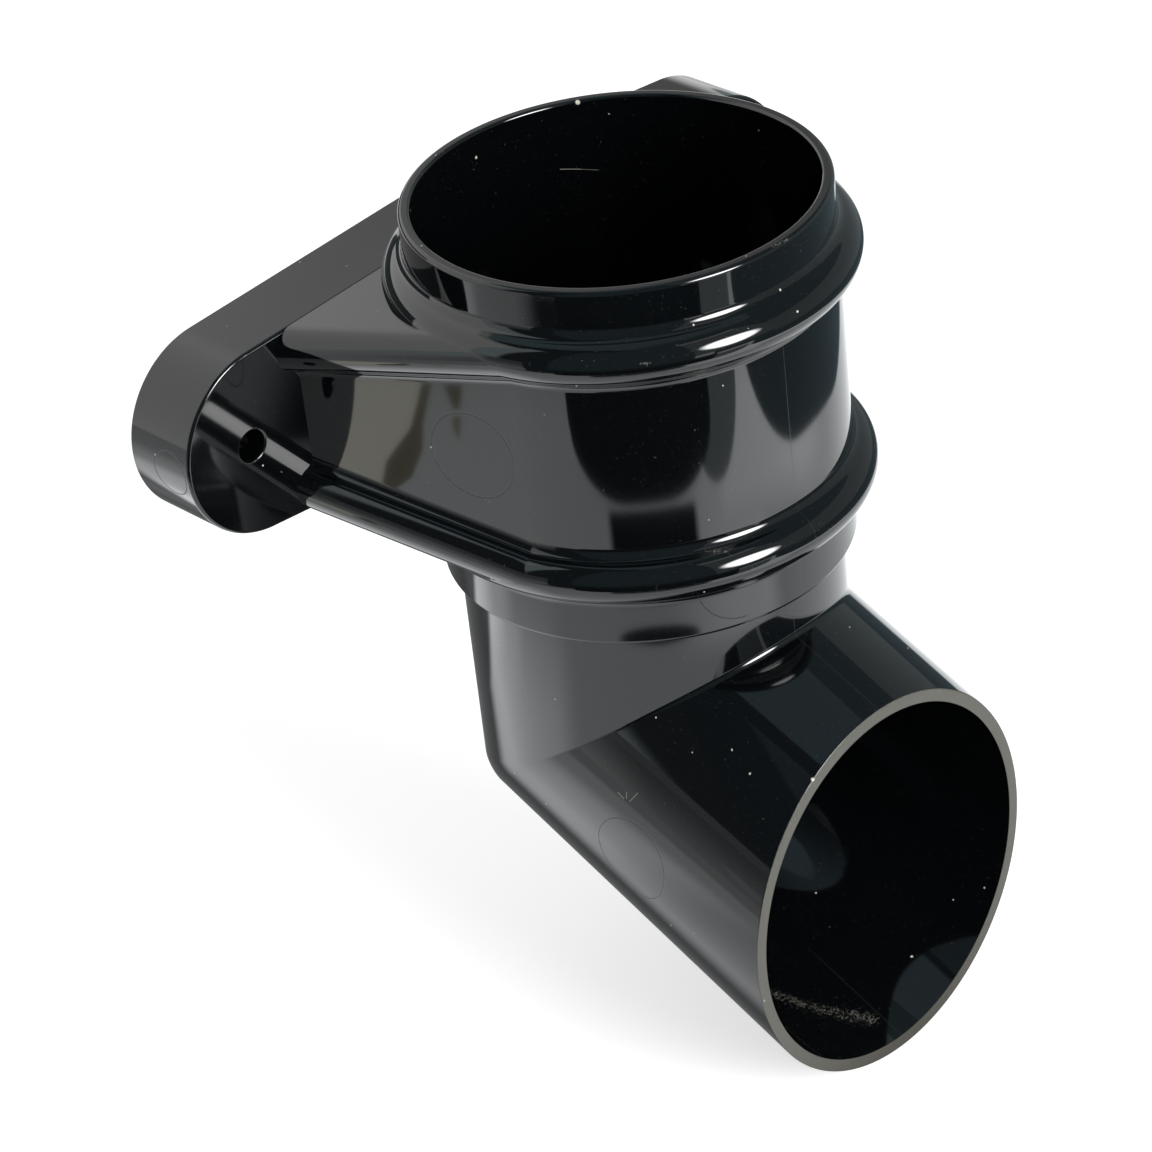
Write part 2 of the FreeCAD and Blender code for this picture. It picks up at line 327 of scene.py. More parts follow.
def make_web_hollows():
    wall = SOCKET_RADIUS - PLATE_SHELL
    top = BEAD_OFFSET + BEAD_RADIUS - PLATE_SHELL
    root = top + WEB_RISE * (wall - WEB_ROOT)
    pen = Pen("web_hollows", (WEB_ROOT, root), across=WEB_ACROSS, base=(0, 0, BAND_HEIGHT))
    pen.line((wall, top), (wall, -top), (WEB_ROOT, -root))
    return draw_out_web(pen, (HOLLOW_RUN,))


# Back plate with a round lug at each end
def draw_plate(name, inset, front):
    radius = LUG_RADIUS - inset
    touch_x = LUG_CENTRE + radius * math.sin(PLATE_TAPER)
    touch_z = radius * math.cos(PLATE_TAPER)
    peak = (radius + LUG_CENTRE * math.sin(PLATE_TAPER)) / math.cos(PLATE_TAPER)
    sweep = 2 * math.degrees(PLATE_TAPER) - 180
    pen = Pen(name, (0, peak), base=(0, front, BAND_HEIGHT))
    pen.line((touch_x, touch_z))
    pen.round((LUG_CENTRE, 0), sweep, LUG_STEPS)
    pen.line((0, -peak), (-touch_x, -touch_z))
    pen.round((-LUG_CENTRE, 0), sweep, LUG_STEPS)
    return pen.close()


def make_plate():
    plate = draw_plate("shoe_plate", 0, PLATE_FRONT)
    push((0, PLATE_BACK - PLATE_FRONT, 0))
    select_where(plate, lambda co: abs(co.y - PLATE_FRONT) < ON_PLANE, "edges")
    bpy.ops.mesh.bevel(offset=PLATE_ROUND * MM, segments=EDGE_STEPS, profile=0.5, affect="EDGES")
    finish_body()
    return plate


def make_plate_hollow():
    hollow = draw_plate("plate_hollow", PLATE_SHELL, PLATE_FRONT + PLATE_SHELL)
    push((0, PLATE_BACK - PLATE_FRONT, 0))
    finish_body()
    return hollow


def make_bosses():
    deep = PLATE_BACK - PLATE_FRONT - BOSS_TUCK
    bpy.ops.object.select_all(action="DESELECT")
    bpy.ops.mesh.primitive_cylinder_add(
        vertices=HOLE_STEPS, radius=BOSS_RADIUS * MM, depth=deep * MM,
        location=Vector((HOLE_CENTRE, PLATE_BACK - deep / 2, BAND_HEIGHT)) * MM, rotation=(math.pi / 2, 0, 0),
    )
    bosses = bpy.context.active_object
    bosses.name = "screw_bosses"
    bpy.ops.object.transform_apply(location=True, rotation=True, scale=False)
    return mirror_across(bosses)


def make_screw_holes():
    start = (HOLE_RADIUS + HOLE_ROUND, PLATE_FRONT - HOLE_OVERCUT)
    pen = Pen("screw_holes", start, up=(0, 1, 0), base=(HOLE_CENTRE, 0, BAND_HEIGHT))
    pen.line((HOLE_RADIUS + HOLE_ROUND, PLATE_FRONT))
    pen.round((HOLE_RADIUS + HOLE_ROUND, PLATE_FRONT + HOLE_ROUND), -90, HOLE_ROUND_STEPS)
    pen.line((HOLE_RADIUS, PLATE_BACK + HOLE_OVERCUT))
    return mirror_across(pen.turn(centre=(HOLE_CENTRE, 0, BAND_HEIGHT), axis=(0, 1, 0), steps=HOLE_STEPS))


# Bent pipe: a circle drawn down to the mitre, tilted there, drawn out along the outlet and cut off upright
OUTLET_ALONG = Vector((0, -math.sin(OUTLET_ANGLE), -math.cos(OUTLET_ANGLE)))


def make_bent_pipe(name, radius, top, length, steps):
    bpy.ops.object.select_all(action="DESELECT")
    bpy.ops.mesh.primitive_circle_add(
        vertices=steps, radius=radius * MM, fill_type="NGON", location=(0, 0, top * MM)
    )
    pipe = bpy.context.active_object
    pipe.name = name
    bpy.ops.object.transform_apply(location=True, rotation=False, scale=False)
    bpy.ops.object.mode_set(mode="EDIT")
    bpy.ops.mesh.select_all(action="SELECT")
    push((0, 0, -MITRE_DROP - top))
    mitre = (0, 0, -MITRE_DROP * MM)
    bpy.ops.transform.resize(value=(1, 1 / math.cos(MITRE_TILT), 1), center_override=mitre)
    bpy.ops.transform.rotate(value=MITRE_TILT, orient_axis="X", center_override=mitre)
    push(OUTLET_ALONG * length)
    return pipe


def off_mitre(co):
    """Distance of a point from the mitre plane, in millimetres."""
    return (co.z + MITRE_DROP) * math.cos(MITRE_TILT) + co.y * math.sin(MITRE_TILT)


def make_pipe():
    pipe = make_bent_pipe("shoe_pipe", PIPE_RADIUS, PIPE_TOP, PIPE_RUN, ROUND_STEPS)
    bpy.ops.mesh.select_all(action="SELECT")
    bpy.ops.mesh.bisect(
        plane_co=(0, -OUTLET_REACH * MM, 0), plane_no=(0, -1, 0), use_fill=True, clear_outer=True
    )
    select_where(pipe, lambda co: abs(co.y + OUTLET_REACH) < ON_PLANE, "edges")
    bpy.ops.mesh.bevel(offset=OUTLET_ROUND * MM, segments=OUTLET_STEPS, profile=0.5, affect="EDGES")
    finish_body()
    weights = pipe.data.attributes.new("bevel_weight_edge", "FLOAT", "EDGE")
    for edge in pipe.data.edges:
        ends = [pipe.data.vertices[number].co / MM for number in edge.vertices]
        if all(abs(off_mitre(end)) < ON_PLANE for end in ends):
            side = (ends[0].y + ends[1].y) / 2 / PIPE_RADIUS
            slant = math.sqrt(1 + (1 - side * side) * math.tan(MITRE_TILT) ** 2)
            share = 1 if side > 0 else CROTCH_ROUND / HEEL_ROUND
            weights.data[edge.index].value = share * abs(side) / slant
    rounding = pipe.modifiers.new("heel", "BEVEL")
    rounding.limit_method = "WEIGHT"
    rounding.offset_type = "OFFSET"
    rounding.width = HEEL_ROUND * math.tan(MITRE_TILT) * MM
    rounding.segments = HEEL_STEPS
    rounding.use_clamp_overlap = False
    return apply_all(pipe)


def make_water_bore():
    bore = make_bent_pipe("water_bore", WATER_RADIUS, WATER_TOP, WATER_RUN, BORE_STEPS)
    finish_body()
    return bore


# One moulding: shell of plate and webs, then socket and pipe, then everything that is open
shoe = make_plate()
shoe.name = "shoe_moulding"
combine(shoe, make_webs(), "UNION")
combine(shoe, make_plate_hollow(), "DIFFERENCE")
combine(shoe, make_bosses(), "UNION")
combine(shoe, make_web_hollows(), "DIFFERENCE")
combine(shoe, make_socket(), "UNION")
combine(shoe, make_pipe(), "UNION")
combine(shoe, make_socket_bore(), "DIFFERENCE")
combine(shoe, make_water_bore(), "DIFFERENCE")
combine(shoe, make_screw_holes(), "DIFFERENCE")


def smooth_moulding(piece):
    """Smooth rounds and flat flats: faces share normals over soft edges, weighted by their area."""
    only(piece)
    bpy.ops.object.mode_set(mode="EDIT")
    bpy.ops.mesh.select_all(action="SELECT")
    bpy.ops.mesh.remove_doubles(threshold=MERGE_GAP)
    bpy.ops.mesh.dissolve_degenerate(threshold=HAIR)
    bpy.ops.object.mode_set(mode="OBJECT")
    bpy.ops.object.shade_smooth_by_angle(angle=SMOOTH_ANGLE)
    weighted = piece.modifiers.new("flats", "WEIGHTED_NORMAL")
    weighted.mode = "FACE_AREA"
    weighted.keep_sharp = True
    apply_all(piece)


smooth_moulding(shoe)
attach(shoe, "root")
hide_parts("downpipe_shoe")


# Shader maths: a socket that can be used in expressions, and one method for every other node
class Value:
    """A node's output socket, with the operators that shader maths needs."""

    def __init__(self, tree, socket):
        self.tree = tree
        self.socket = socket

    def maths(self, operation, *inputs):
        return self.tree.node("ShaderNodeMath", {"operation": operation}, dict(enumerate(inputs)))

    def __add__(self, other):
        return self.maths("ADD", self, other)

    __radd__ = __add__

    def __sub__(self, other):
        return self.maths("SUBTRACT", self, other)

    def __rsub__(self, other):
        return self.maths("SUBTRACT", other, self)

    def __mul__(self, other):
        return self.maths("MULTIPLY", self, other)

    __rmul__ = __mul__

    def __truediv__(self, other):
        return self.maths("DIVIDE", self, other)

    def __abs__(self):
        return self.maths("ABSOLUTE", self)

    def over(self, other):
        """The larger of two values."""
        return self.maths("MAXIMUM", self, other)


class Shader:
    """The node tree of one material or of the world."""

    def __init__(self, owner):
        owner.use_nodes = True
        self.nodes = owner.node_tree.nodes
        self.links = owner.node_tree.links
        self.nodes.clear()

    def node(self, kind, settings=None, inputs=None, output=0):
        """Adds a node, sets it up, feeds its sockets with numbers, colours or links, and gives one output."""
        made = self.nodes.new(kind)
        for name, setting in (settings or {}).items():
            setattr(made, name, setting)
        for name, given in (inputs or {}).items():
            if isinstance(given, Value):
                self.links.new(given.socket, made.inputs[name])
            else:
                made.inputs[name].default_value = given
        return Value(self, made.outputs[output]) if made.outputs else None

    def colour(self, *rgb):
        return (*rgb, 1)

    def smooth(self, value, low, high):
        """0 below low, 1 above high, and an even passage between them."""
        return self.node(
            "ShaderNodeMapRange", {"interpolation_type": "SMOOTHSTEP"},
            {"Value": value, "From Min": low, "From Max": high, "To Min": 0.0, "To Max": 1.0},
        )

    def blend(self, share, first, second):
        """Mixes two colours."""
        return self.node(
            "ShaderNodeMix", {"data_type": "RGBA"}, {"Factor": share, "A": first, "B": second}, output=2
        )

    def noise(self, place, scale, detail=2.0, roughness=0.5):
        inputs = {"Vector": place, "Scale": scale, "Detail": detail, "Roughness": roughness}
        return self.node("ShaderNodeTexNoise", {}, inputs)

    def vector(self, operation, first, second, output="Vector"):
        return self.node("ShaderNodeVectorMath", {"operation": operation}, {0: first, 1: second}, output)

    def off_point(self, place, point):
        """Distance in millimetres from a point in millimetres."""
        return self.vector("DISTANCE", place, Vector(point) * MM, "Value") / MM

    def off_line(self, place, start, end):
        """Distance in millimetres from the straight line between two points in millimetres."""
        first = Vector(start) * MM
        run = Vector(end) * MM - first
        arm = self.vector("SUBTRACT", place, first)
        share = self.vector("DOT_PRODUCT", arm, run / run.length_squared, "Value")
        share = self.node("ShaderNodeClamp", {}, {"Value": share})
        foot = self.node("ShaderNodeVectorMath", {"operation": "SCALE"}, {0: run, "Scale": share})
        return self.vector("DISTANCE", arm, foot, "Value") / MM

    def dust(self, place, cell, size, share):
        """Grains of a size in millimetres, at most one in each cell, in a share of the cells."""
        off = self.node("ShaderNodeTexVoronoi", {}, {"Vector": place, "Scale": 1 / (cell * MM)}, "Distance")
        colour = Value(self, off.socket.node.outputs["Color"])
        chance = self.node("ShaderNodeSeparateColor", {}, {0: colour})
        grains = 1 - self.smooth(off, 0.5 * size / cell, size / cell)
        return grains * self.smooth(chance, 1 - share, 1.02 - share)


# Marks that the photograph shows, in millimetres: witness marks of the mould, hairlines, flecks and scuffs
WITNESS_RINGS = (
    ((-38.06, 0.0, 31.0), 8.1),
    ((-72.9, 37.6, 31.0), 4.1),
    ((-34.0, -23.6, -44.6), 8.0),
)
SKIRT_RING = ((-11.8, -34.5, 7.0), 8.3)
HAIRLINES = (
    ((15.6, 30.9, 52.5), (18.7, 29.1, 51.7), 0.12),
    ((18.7, 29.1, 51.7), (21.6, 27.1, 50.9), 0.06),
    ((-32.6, -20.5, -32.4), (-32.6, -21.9, -33.1), 0.08),
    ((-32.2, -22.3, -31.8), (-32.5, -22.5, -32.9), 0.08),
    ((-31.7, -24.6, -31.3), (-32.5, -23.2, -33.2), 0.07),
)
FLECKS = (
    ((19.6, 28.9, 64.8), 0.55),
    ((0.0, 34.6, 60.6), 0.40),
    ((34.6, 0.0, 61.2), 0.28),
    ((0.2, -36.9, 57.2), 0.30),
    ((0.4, -40.5, 54.4), 0.30),
    ((-16.8, -52.5, -24.2), 0.42),
    ((9.4, -24.2, -77.3), 0.25),
    ((12.7, -44.3, -84.3), 0.32),
    ((-21.4, -38.2, -21.6), 0.26),
    ((-22.1, -42.8, -24.2), 0.26),
    ((-21.3, -30.0, 32.7), 0.24),
    ((-20.7, -30.4, 32.5), 0.16),
)
SCUFFS = (
    ((-14.6, -36.9, -80.0), (-2.2, -47.2, -88.2), 3.4),
    ((-17.9, -33.2, 14.5), (-15.7, -35.7, 13.9), 0.9),
    ((-26.5, -31.0, 53.6), (-25.4, -31.9, 53.6), 0.5),
    ((-0.6, -36.4, 64.9), (4.2, -36.5, 64.7), 0.5),
)


def plastic_material():
    """Glossy black moulded plastic with a matt saw cut at the outlet, fine mould marks, and dust."""
    material = bpy.data.materials.new("black_plastic")
    shader = Shader(material)
    place = shader.node("ShaderNodeTexCoord", {}, {}, "Object")
    across = shader.node("ShaderNodeSeparateXYZ", {}, {"Vector": place}, "X")
    deep = shader.node("ShaderNodeSeparateXYZ", {}, {"Vector": place}, "Y")
    level = shader.node("ShaderNodeSeparateXYZ", {}, {"Vector": place}, "Z")
    wide = shader.noise(place, 45.0, 1.0)
    fine = shader.noise(place, 1800.0, 2.0, 0.6)
    grain = shader.noise(place, 6800.0, 1.0)
    colour = Value(shader, fine.socket.node.outputs["Color"])
    ragged = shader.node(
        "ShaderNodeMix", {"data_type": "VECTOR"}, {"Factor": 0.0004, 4: place, 5: colour}, output=1
    )

    # The saw cut, the parting line down the front, and the marks that the mould's pins left
    cut = shader.smooth(0 - deep, (OUTLET_REACH - 0.14) * MM, (OUTLET_REACH - 0.04) * MM)
    line = (1 - shader.smooth(abs(across), 0.03 * MM, 0.08 * MM)) * shader.smooth(0 - deep, 30 * MM, 34 * MM)
    line = line * (1 - shader.smooth(level, 46 * MM, 50 * MM))
    rings = 0
    for centre, radius in WITNESS_RINGS:
        off = abs(shader.off_point(place, centre) - radius)
        rings = (1 - shader.smooth(off, 0.05, 0.14)).over(rings)
    rings = rings * shader.smooth(0 - across, 32.5 * MM, 32.7 * MM)
    centre, radius = SKIRT_RING
    arc = 1 - shader.smooth(abs(shader.off_point(place, centre) - radius), 0.05, 0.12)
    arc = arc * (1 - shader.smooth(level, 4.5 * MM, 6 * MM)) * shader.smooth(0 - across, 10.5 * MM, 12.5 * MM)
    rings = rings.over(0.6 * arc)

    # Light dust all over, with the larger flecks, hairlines and scuffs where the photograph has them
    specks = shader.dust(ragged, 4.0, 0.21, 0.4)
    for point, size in FLECKS:
        specks = specks.over(1 - shader.smooth(shader.off_point(ragged, point), 0.5 * size, size))
    for start, end, size in HAIRLINES:
        specks = specks.over(0.4 - 0.4 * shader.smooth(shader.off_line(place, start, end), 0.4 * size, size))
    powder = grain + 0.45 * fine
    for start, end, size in SCUFFS:
        reach = 1 - shader.smooth(shader.off_line(place, start, end), 0, size)
        specks = specks.over(0.5 * shader.smooth(powder + 0.2 * reach, 1.0, 1.1))

    base = shader.blend(wide, shader.colour(0.0012, 0.0016, 0.0019), shader.colour(0.0018, 0.0023, 0.0027))
    base = shader.blend(0.4 * line, base, shader.colour(0.03, 0.03, 0.03))
    base = shader.blend(cut * (0.55 + 0.45 * fine), base, shader.colour(0.056, 0.053, 0.042))
    base = shader.blend(specks, base, shader.colour(0.50, 0.48, 0.42))
    rough = 0.03 + 0.02 * wide + 0.02 * fine
    rough = rough.over(0.4 * cut).over(0.25 * line).over(0.5 * rings).over(0.7 * specks)
    height = 0.1 * wide - 0.3 * rings
    bump = shader.node("ShaderNodeBump", {}, {"Strength": 0.5, "Distance": 0.0001, "Height": height})
    surface = shader.node(
        "ShaderNodeBsdfPrincipled", {},
        {"Base Color": base, "Roughness": rough, "Normal": bump, "IOR": 1.54},
    )
    shader.node("ShaderNodeOutputMaterial", {}, {"Surface": surface})
    return material


shoe.data.materials.clear()
shoe.data.materials.append(plastic_material())


def towards(azimuth, elevation):
    """Unit vector to the surroundings; azimuth 0 is in front of the outlet, and 90 on its right."""
    turn, rise = math.radians(azimuth), math.radians(elevation)
    return Vector((math.sin(turn) * math.cos(rise), -math.cos(turn) * math.cos(rise), math.sin(rise)))


# Camera as the photograph was taken: degrees, pixels of the photograph, and millimetres
CAMERA_AZIMUTH = -40.91
CAMERA_ELEVATION = 32.37
CAMERA_ROLL = math.radians(-6.67)
PHOTO_WIDTH = 1152
FOCAL_PIXELS = 4061.01
SENSOR_WIDTH = 36
CAMERA_AIM = Vector((0, 0, 5))
CAMERA_DISTANCE = 712.27
CAMERA_RIGHT = -12.38
CAMERA_UP = -14.92


def make_camera():
    back = towards(CAMERA_AZIMUTH, CAMERA_ELEVATION)
    level = towards(CAMERA_AZIMUTH + 90, 0)
    upright = back.cross(level)
    right = level * math.cos(CAMERA_ROLL) + upright * math.sin(CAMERA_ROLL)
    up = upright * math.cos(CAMERA_ROLL) - level * math.sin(CAMERA_ROLL)
    data = bpy.data.cameras.new("camera")
    data.sensor_width = SENSOR_WIDTH
    data.lens = FOCAL_PIXELS / PHOTO_WIDTH * SENSOR_WIDTH
    data.clip_start = 0.05
    data.clip_end = 20
    camera = bpy.data.objects.new("camera", data)
    bpy.context.scene.collection.objects.link(camera)
    place = Matrix((right, up, back)).transposed().to_4x4()
    away = back * CAMERA_DISTANCE + right * CAMERA_RIGHT + up * CAMERA_UP
    place.translation = (CAMERA_AIM + away) * MM
    camera.matrix_world = place
    bpy.context.scene.camera = camera


make_camera()


# Studio, in metres and degrees: pale floor, white surroundings, a soft box, and flats that the gloss mirrors
FLOOR_LEVEL = cad_box[0][2]
GLOW_TOP = 0.08
FADE_RISE = 0.35
FLAT_STEPS = 60
DISC_STEPS = 64
BLUE = (0.72, 1.0, 1.12)
COOL = (0.86, 1.0, 1.04)
PALE = (0.97, 1.0, 1.015)
WHITE = (1.0, 1.0, 1.0)
CREAM = (1.02, 1.0, 0.87)
WARM = (1.08, 1.0, 0.7)


def finish_glow(shader, strength, tint):
    """Ends a material as a tinted glow of a strength."""
    colour = shader.node("ShaderNodeVectorMath", {"operation": "SCALE"}, {0: tint, "Scale": strength})
    glow = shader.node("ShaderNodeEmission", {}, {"Color": colour, "Strength": 1.0})
    shader.node("ShaderNodeOutputMaterial", {}, {"Surface": glow})


def glow_material(name, low, high, tint, fade=None):
    """A plain glow, with one strength near the floor and another above the shoe's socket.

    A fade is the azimuth at which a share of the glow is left, the azimuth from which it is whole,
    that share, and the height below which there is no fade.
    """
    material = bpy.data.materials.new(name)
    shader = Shader(material)
    place = shader.node("ShaderNodeTexCoord", {}, {}, "Object")
    level = shader.node("ShaderNodeSeparateXYZ", {}, {"Vector": place}, "Z")
    strength = low + (high - low) * shader.smooth(level, FLOOR_LEVEL, GLOW_TOP)
    if fade:
        dim, whole, share, height = fade
        ahead = shader.vector("DOT_PRODUCT", place, towards(whole, 0), "Value")
        beside = shader.vector("DOT_PRODUCT", place, towards(whole + 90, 0), "Value")
        turn = beside.maths("ARCTAN2", beside, ahead)
        kept = shader.smooth(turn, math.radians(dim - whole), 0)
        kept = kept.over(1 - shader.smooth(level, height, height + FADE_RISE))
        strength = strength * (share + (1 - share) * kept)
    finish_glow(shader, strength, tint)
    return material


def ceiling_material():
    """Darker in front of the shoe than above and behind it, and dark on its left."""
    material = bpy.data.materials.new("ceiling")
    shader = Shader(material)
    place = shader.node("ShaderNodeTexCoord", {}, {}, "Object")
    x = shader.node("ShaderNodeSeparateXYZ", {}, {"Vector": place}, "X")
    y = shader.node("ShaderNodeSeparateXYZ", {}, {"Vector": place}, "Y")
    lit = 0.2 + 0.8 * shader.smooth(x, -0.32, -0.26)
    back = 0.2 * shader.smooth(y, -0.4, -0.12) + 0.08 * shader.smooth(y, 0.0, 0.3)
    finish_glow(shader, lit * (0.18 + back), BLUE)
    return material


def table_material():
    """The lit table as the gloss mirrors it: bright behind and in front, dark in the shoe's own shadow."""
    material = bpy.data.materials.new("lit_table")
    shader = Shader(material)
    place = shader.node("ShaderNodeTexCoord", {}, {}, "Object")
    x = shader.node("ShaderNodeSeparateXYZ", {}, {"Vector": place}, "X")
    y = shader.node("ShaderNodeSeparateXYZ", {}, {"Vector": place}, "Y")
    away = x.maths("SQRT", x * x + y * y)
    turn = x.maths("ARCTAN2", x, 0 - y) * math.degrees(1)
    near = (1 - shader.smooth(away, 0.12, 0.2)) * shader.smooth(y, 0.0, 0.04)
    back = (1 - shader.smooth(away, 0.3, 0.5)) * shader.smooth(y + 0.7 * x, -0.035, 0.02)
    behind = near.over(back) * shader.smooth(0 - x, 0.04, 0.07)
    front = shader.smooth(turn, -16, -2) * (1 - shader.smooth(turn, 40, 70)) * shader.smooth(away, 0.19, 0.23)
    close = shader.smooth(turn, -45, 0) * (1 - shader.smooth(turn, 14, 26))
    close = close * shader.smooth(away, 0.155, 0.172)
    spot = 1 - shader.smooth(shader.off_point(place, (-94, 152, -93)), 10, 45)
    bright = 1.45 + 0.9 * behind + 1.5 * front.over(0.7 * close) + 0.9 * spot
    bright = bright * (1 - 0.35 * shader.smooth(away, 0.26, 0.32))

    # Its own shadow behind the shoe
    lean = 1.2 * (y - 0.115).over(0)
    shade = (1 - shader.smooth(0 - x - lean, 0.032, 0.052)) * shader.smooth(y, -0.07, -0.05)
    shade = shade * (1 - shader.smooth(x, 0.05, 0.09)) * (1 - shader.smooth(away, 0.22, 0.32))

    # What stands dark in front is mirrored once more by the table
    patch = shader.smooth(away, 0.186, 0.19) * (1 - shader.smooth(away, 0.2262, 0.2280))
    patch = patch * shader.smooth(turn, -64, -60) * (1 - shader.smooth(turn, -21, -17))
    sliver_out = (away - 0.1725) / 0.0055
    sliver_turn = (turn + 43) / 21.5
    dark = patch.over(1 - shader.smooth(sliver_out * sliver_out + sliver_turn * sliver_turn, 0.6, 1.1))
    finish_glow(shader, bright * (1 - 0.86 * shade) * (1 - dark), PALE)
    return material


def only_in_gloss(flat):
    """The camera and the light don't meet a flat: it only shows where the plastic mirrors it."""
    flat.visible_camera = False
    flat.visible_diffuse = False
    flat.visible_shadow = False
    flat.visible_transmission = False
    flat.data.materials[0].cycles.emission_sampling = "NONE"


def make_flat(name, glow, tint, span, radius, height, corner=(0, 0.0), fade=None):
    """A curved flat over a span of azimuths; its lower corners are rounded over some degrees and lifted."""
    first, last = span
    bottom, top = height
    reach, lift = corner
    flat = start_piece(name, towards(first, 0) * radius + Vector((0, 0, bottom)))
    bpy.ops.mesh.extrude_vertices_move(TRANSFORM_OT_translate={"value": (0, 0, top - bottom)})
    bpy.ops.mesh.select_all(action="SELECT")
    bpy.ops.mesh.spin(steps=FLAT_STEPS, angle=-math.radians(last - first), center=(0, 0, 0), axis=(0, 0, 1))
    for number in range(FLAT_STEPS + 1):
        inside = (last - first) * min(number, FLAT_STEPS - number) / FLAT_STEPS
        if inside >= reach:
            continue
        foot = towards(first + (last - first) * number / FLAT_STEPS, 0) * radius + Vector((0, 0, bottom))
        select_where(flat, lambda co: (co - foot / MM).length < SAME_POINT)
        rise = lift * (1 - math.sqrt(1 - (1 - inside / reach) ** 2))
        bpy.ops.transform.translate(value=(0, 0, rise))
    bpy.ops.object.mode_set(mode="OBJECT")
    flat.data.materials.append(glow_material(name, *glow, tint, fade))
    only_in_gloss(flat)


def make_disc(name, material, radius, height):
    """A level disc that only the gloss sees."""
    bpy.ops.object.select_all(action="DESELECT")
    bpy.ops.mesh.primitive_circle_add(
        vertices=DISC_STEPS, radius=radius, fill_type="NGON", location=(0, 0, height)
    )
    disc = bpy.context.active_object
    disc.name = name
    bpy.ops.object.transform_apply(location=True, rotation=False, scale=False)
    disc.data.materials.append(material)
    only_in_gloss(disc)


# Outlines and height of level cards, in millimetres: the web mirrors a bright one and three dark ones over it
CARD_LEVEL = -30
WARM_CARD = ((-163, 75), (-163, 56), (-145, 51), (-119, 50), (-118, 60))
LONG_CARD = (
    (-161, 55), (-161, 53), (-146, 50), (-136, 47), (-126, 46), (-121, 48), (-122, 51), (-131, 53), (-144, 52)
)
WIDE_CARD = ((-161, 50.5), (-161, 46.5), (-152, 44), (-152, 45.5))
SHORT_CARD = ((-149, 45), (-149, 43), (-140, 40.5), (-144, 43))


def make_card(name, outline, level, glow, tint):
    """A level card of an outline that only the gloss sees."""
    pen = Pen(name, outline[0], up=(0, 1, 0), base=(0, 0, level))
    pen.line(*outline[1:])
    card = pen.close()
    bpy.ops.object.mode_set(mode="OBJECT")
    card.data.materials.append(glow_material(name, glow, glow, tint))
    only_in_gloss(card)


def make_floor():
    bpy.ops.object.select_all(action="DESELECT")
    bpy.ops.mesh.primitive_plane_add(size=6, location=(0, 0, FLOOR_LEVEL - 0.0002))
    floor = bpy.context.active_object
    floor.name = "floor"
    bpy.ops.object.transform_apply(location=True, rotation=False, scale=False)
    material = bpy.data.materials.new("floor")
    shader = Shader(material)
    paper = shader.node("ShaderNodeBsdfDiffuse", {}, {"Color": shader.colour(0.82, 0.82, 0.82)})
    glow = shader.node("ShaderNodeEmission", {}, {"Color": shader.colour(1, 1, 1), "Strength": 0.55})
    both = shader.node("ShaderNodeAddShader", {}, {0: paper, 1: glow})
    shader.node("ShaderNodeOutputMaterial", {}, {"Surface": both})
    floor.data.materials.append(material)


def make_world():
    world = bpy.data.worlds.new("studio")
    bpy.context.scene.world = world
    shader = Shader(world)
    path = "ShaderNodeLightPath"
    seen = shader.node(path, {}, {}, "Is Camera Ray") + shader.node(path, {}, {}, "Is Glossy Ray")
    seen = seen + shader.node(path, {}, {}, "Is Transmission Ray")
    white = shader.node("ShaderNodeBackground", {}, {"Color": shader.colour(1, 1, 1), "Strength": 1.0})
    soft = shader.node("ShaderNodeBackground", {}, {"Color": shader.colour(1, 1, 1), "Strength": 0.6})
    both = shader.node("ShaderNodeMixShader", {}, {0: seen, 1: soft, 2: white})
    shader.node("ShaderNodeOutputWorld", {}, {"Surface": both})


def make_soft_box(name, azimuth, elevation, distance, width, height, power, glow):
    """A soft box that lights the scene, and the soft-edged oval that the gloss mirrors in its place."""
    way = towards(azimuth, elevation)
    facing = way.to_track_quat("Z", "Y").to_euler()
    data = bpy.data.lights.new(name, "AREA")
    data.shape = "ELLIPSE"
    data.size = width
    data.size_y = height
    data.energy = power
    lamp = bpy.data.objects.new(name, data)
    bpy.context.scene.collection.objects.link(lamp)
    lamp.location = way * distance
    lamp.rotation_euler = facing
    lamp.visible_glossy = False
    bpy.ops.object.select_all(action="DESELECT")
    bpy.ops.mesh.primitive_circle_add(
        vertices=DISC_STEPS, radius=0.5, fill_type="NGON", location=way * distance, rotation=facing
    )
    oval = bpy.context.active_object
    oval.name = name + "_glow"
    oval.scale = (width, height, 1)
    bpy.ops.object.transform_apply(location=True, rotation=True, scale=True)
    material = bpy.data.materials.new(oval.name)
    shader = Shader(material)
    place = shader.node("ShaderNodeTexCoord", {}, {}, "UV")
    off = shader.vector("DISTANCE", place, (0.5, 0.5, 0), "Value")
    finish_glow(shader, glow * (1 - shader.smooth(off, 0.28, 0.5)), WHITE)
    oval.data.materials.append(material)
    only_in_gloss(oval)


make_floor()
make_world()
make_soft_box(
    "key_soft_box", azimuth=3, elevation=20, distance=1.0, width=0.56, height=0.6, power=11, glow=30
)

# Dark surroundings in front, which the socket's wall mirrors
make_flat(
    "dark_screen", glow=(0.0, 0.1), tint=BLUE, span=(-77, -7), radius=0.23, height=(FLOOR_LEVEL, 0.0),
    corner=(25, 0.020),
)
make_flat("dark_upper", glow=(0.07, 0.18), tint=BLUE, span=(-77, -17), radius=0.231, height=(-0.002, 0.5))

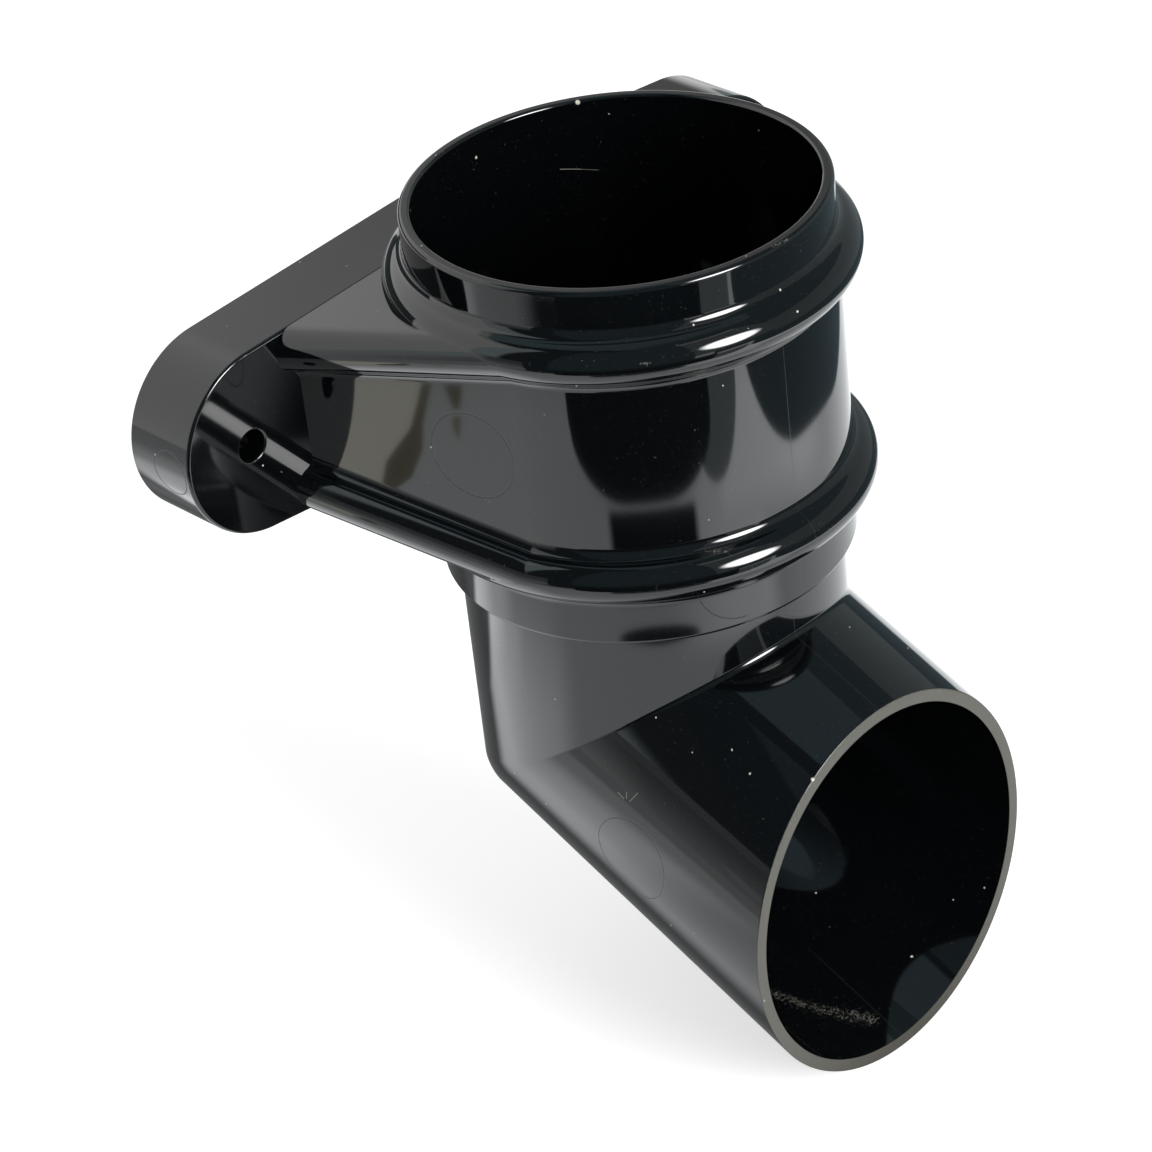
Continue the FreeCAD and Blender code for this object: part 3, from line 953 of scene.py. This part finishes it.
# Left of them: dark high up, and fading from the bright left lower down
make_flat("dark_wing", glow=(0.08, 0.08), tint=BLUE, span=(-88, -77), radius=0.23, height=(-0.038, 0.5))
make_flat("dark_top", glow=(0.08, 0.08), tint=BLUE, span=(-95, -60), radius=0.232, height=(0.49, 0.8))
make_flat(
    "low_wing", glow=(0.85, 0.85), tint=PALE, span=(-97, -77), radius=0.229, height=(-0.052, -0.038),
    fade=(-84, -97, 0.03, -1.0),
)
make_flat(
    "far_low", glow=(1.2, 1.2), tint=PALE, span=(-116, -76), radius=0.55, height=(FLOOR_LEVEL, 0.075),
    fade=(-103, -115, 0.25, -0.25),
)
make_flat(
    "far_line", glow=(1.2, 1.2), tint=PALE, span=(-116, -76), radius=0.55, height=(0.075, 0.118),
    fade=(-103, -115, 0.34, -1.0),
)
make_flat(
    "far_wing", glow=(1.2, 1.2), tint=COOL, span=(-116, -76), radius=0.55, height=(0.118, 1.3),
    fade=(-100.5, -104.5, 0.07, -1.0),
)

# Right of them: half dark, then dark near the table and grey above
make_flat(
    "half_dark", glow=(0.55, 0.55), tint=COOL, span=(-20, 8), radius=0.232, height=(FLOOR_LEVEL, -0.02),
    corner=(14, 0.03),
)
make_flat("front_low", glow=(0.2, 0.2), tint=BLUE, span=(-8, 24), radius=0.3, height=(-0.02, 0.03))
make_flat(
    "right_low", glow=(0.16, 0.18), tint=BLUE, span=(10, 112), radius=0.23, height=(FLOOR_LEVEL, 0.0),
    corner=(35, 0.05),
)
make_flat("right_screen", glow=(0.27, 0.40), tint=COOL, span=(20, 112), radius=0.235, height=(-0.03, 0.18))
make_flat("right_upper", glow=(0.2, 0.2), tint=BLUE, span=(20, 112), radius=0.235, height=(0.18, 0.5))

# Far walls, ceiling and table
make_flat("grey_wall", glow=(0.45, 0.45), tint=COOL, span=(-80, 132), radius=1.6, height=(FLOOR_LEVEL, 2.2))
make_flat("back_low", glow=(0.12, 0.12), tint=COOL, span=(158, 206), radius=1.3, height=(FLOOR_LEVEL, 0.32))
make_flat(
    "white_wall", glow=(1.5, 1.5), tint=WHITE, span=(130, 260), radius=1.4, height=(FLOOR_LEVEL, 2.0),
    fade=(130, 168, 0.25, 0.15),
)
make_disc("ceiling", ceiling_material(), radius=0.62, height=1.0)
make_disc("table", table_material(), radius=1.2, height=FLOOR_LEVEL - 0.0001)

# A black card inside the socket, which only the gloss sees, is painted shade in the bore's reflections; then
# the cards that the web mirrors
make_flat("bore_shade_card", glow=(0.0, 0.0), tint=BLUE, span=(-152, -104), radius=0.0336, height=(0.001, 0.026))
make_card("warm_card", WARM_CARD, CARD_LEVEL - 0.5, 2.0, CREAM)
make_card("long_card", LONG_CARD, CARD_LEVEL, 0.45, WARM)
make_card("wide_card", WIDE_CARD, CARD_LEVEL, 0.45, WARM)
make_card("short_card", SHORT_CARD, CARD_LEVEL, 0.6, WARM)
bpy.context.scene.view_settings.view_transform = "Standard"
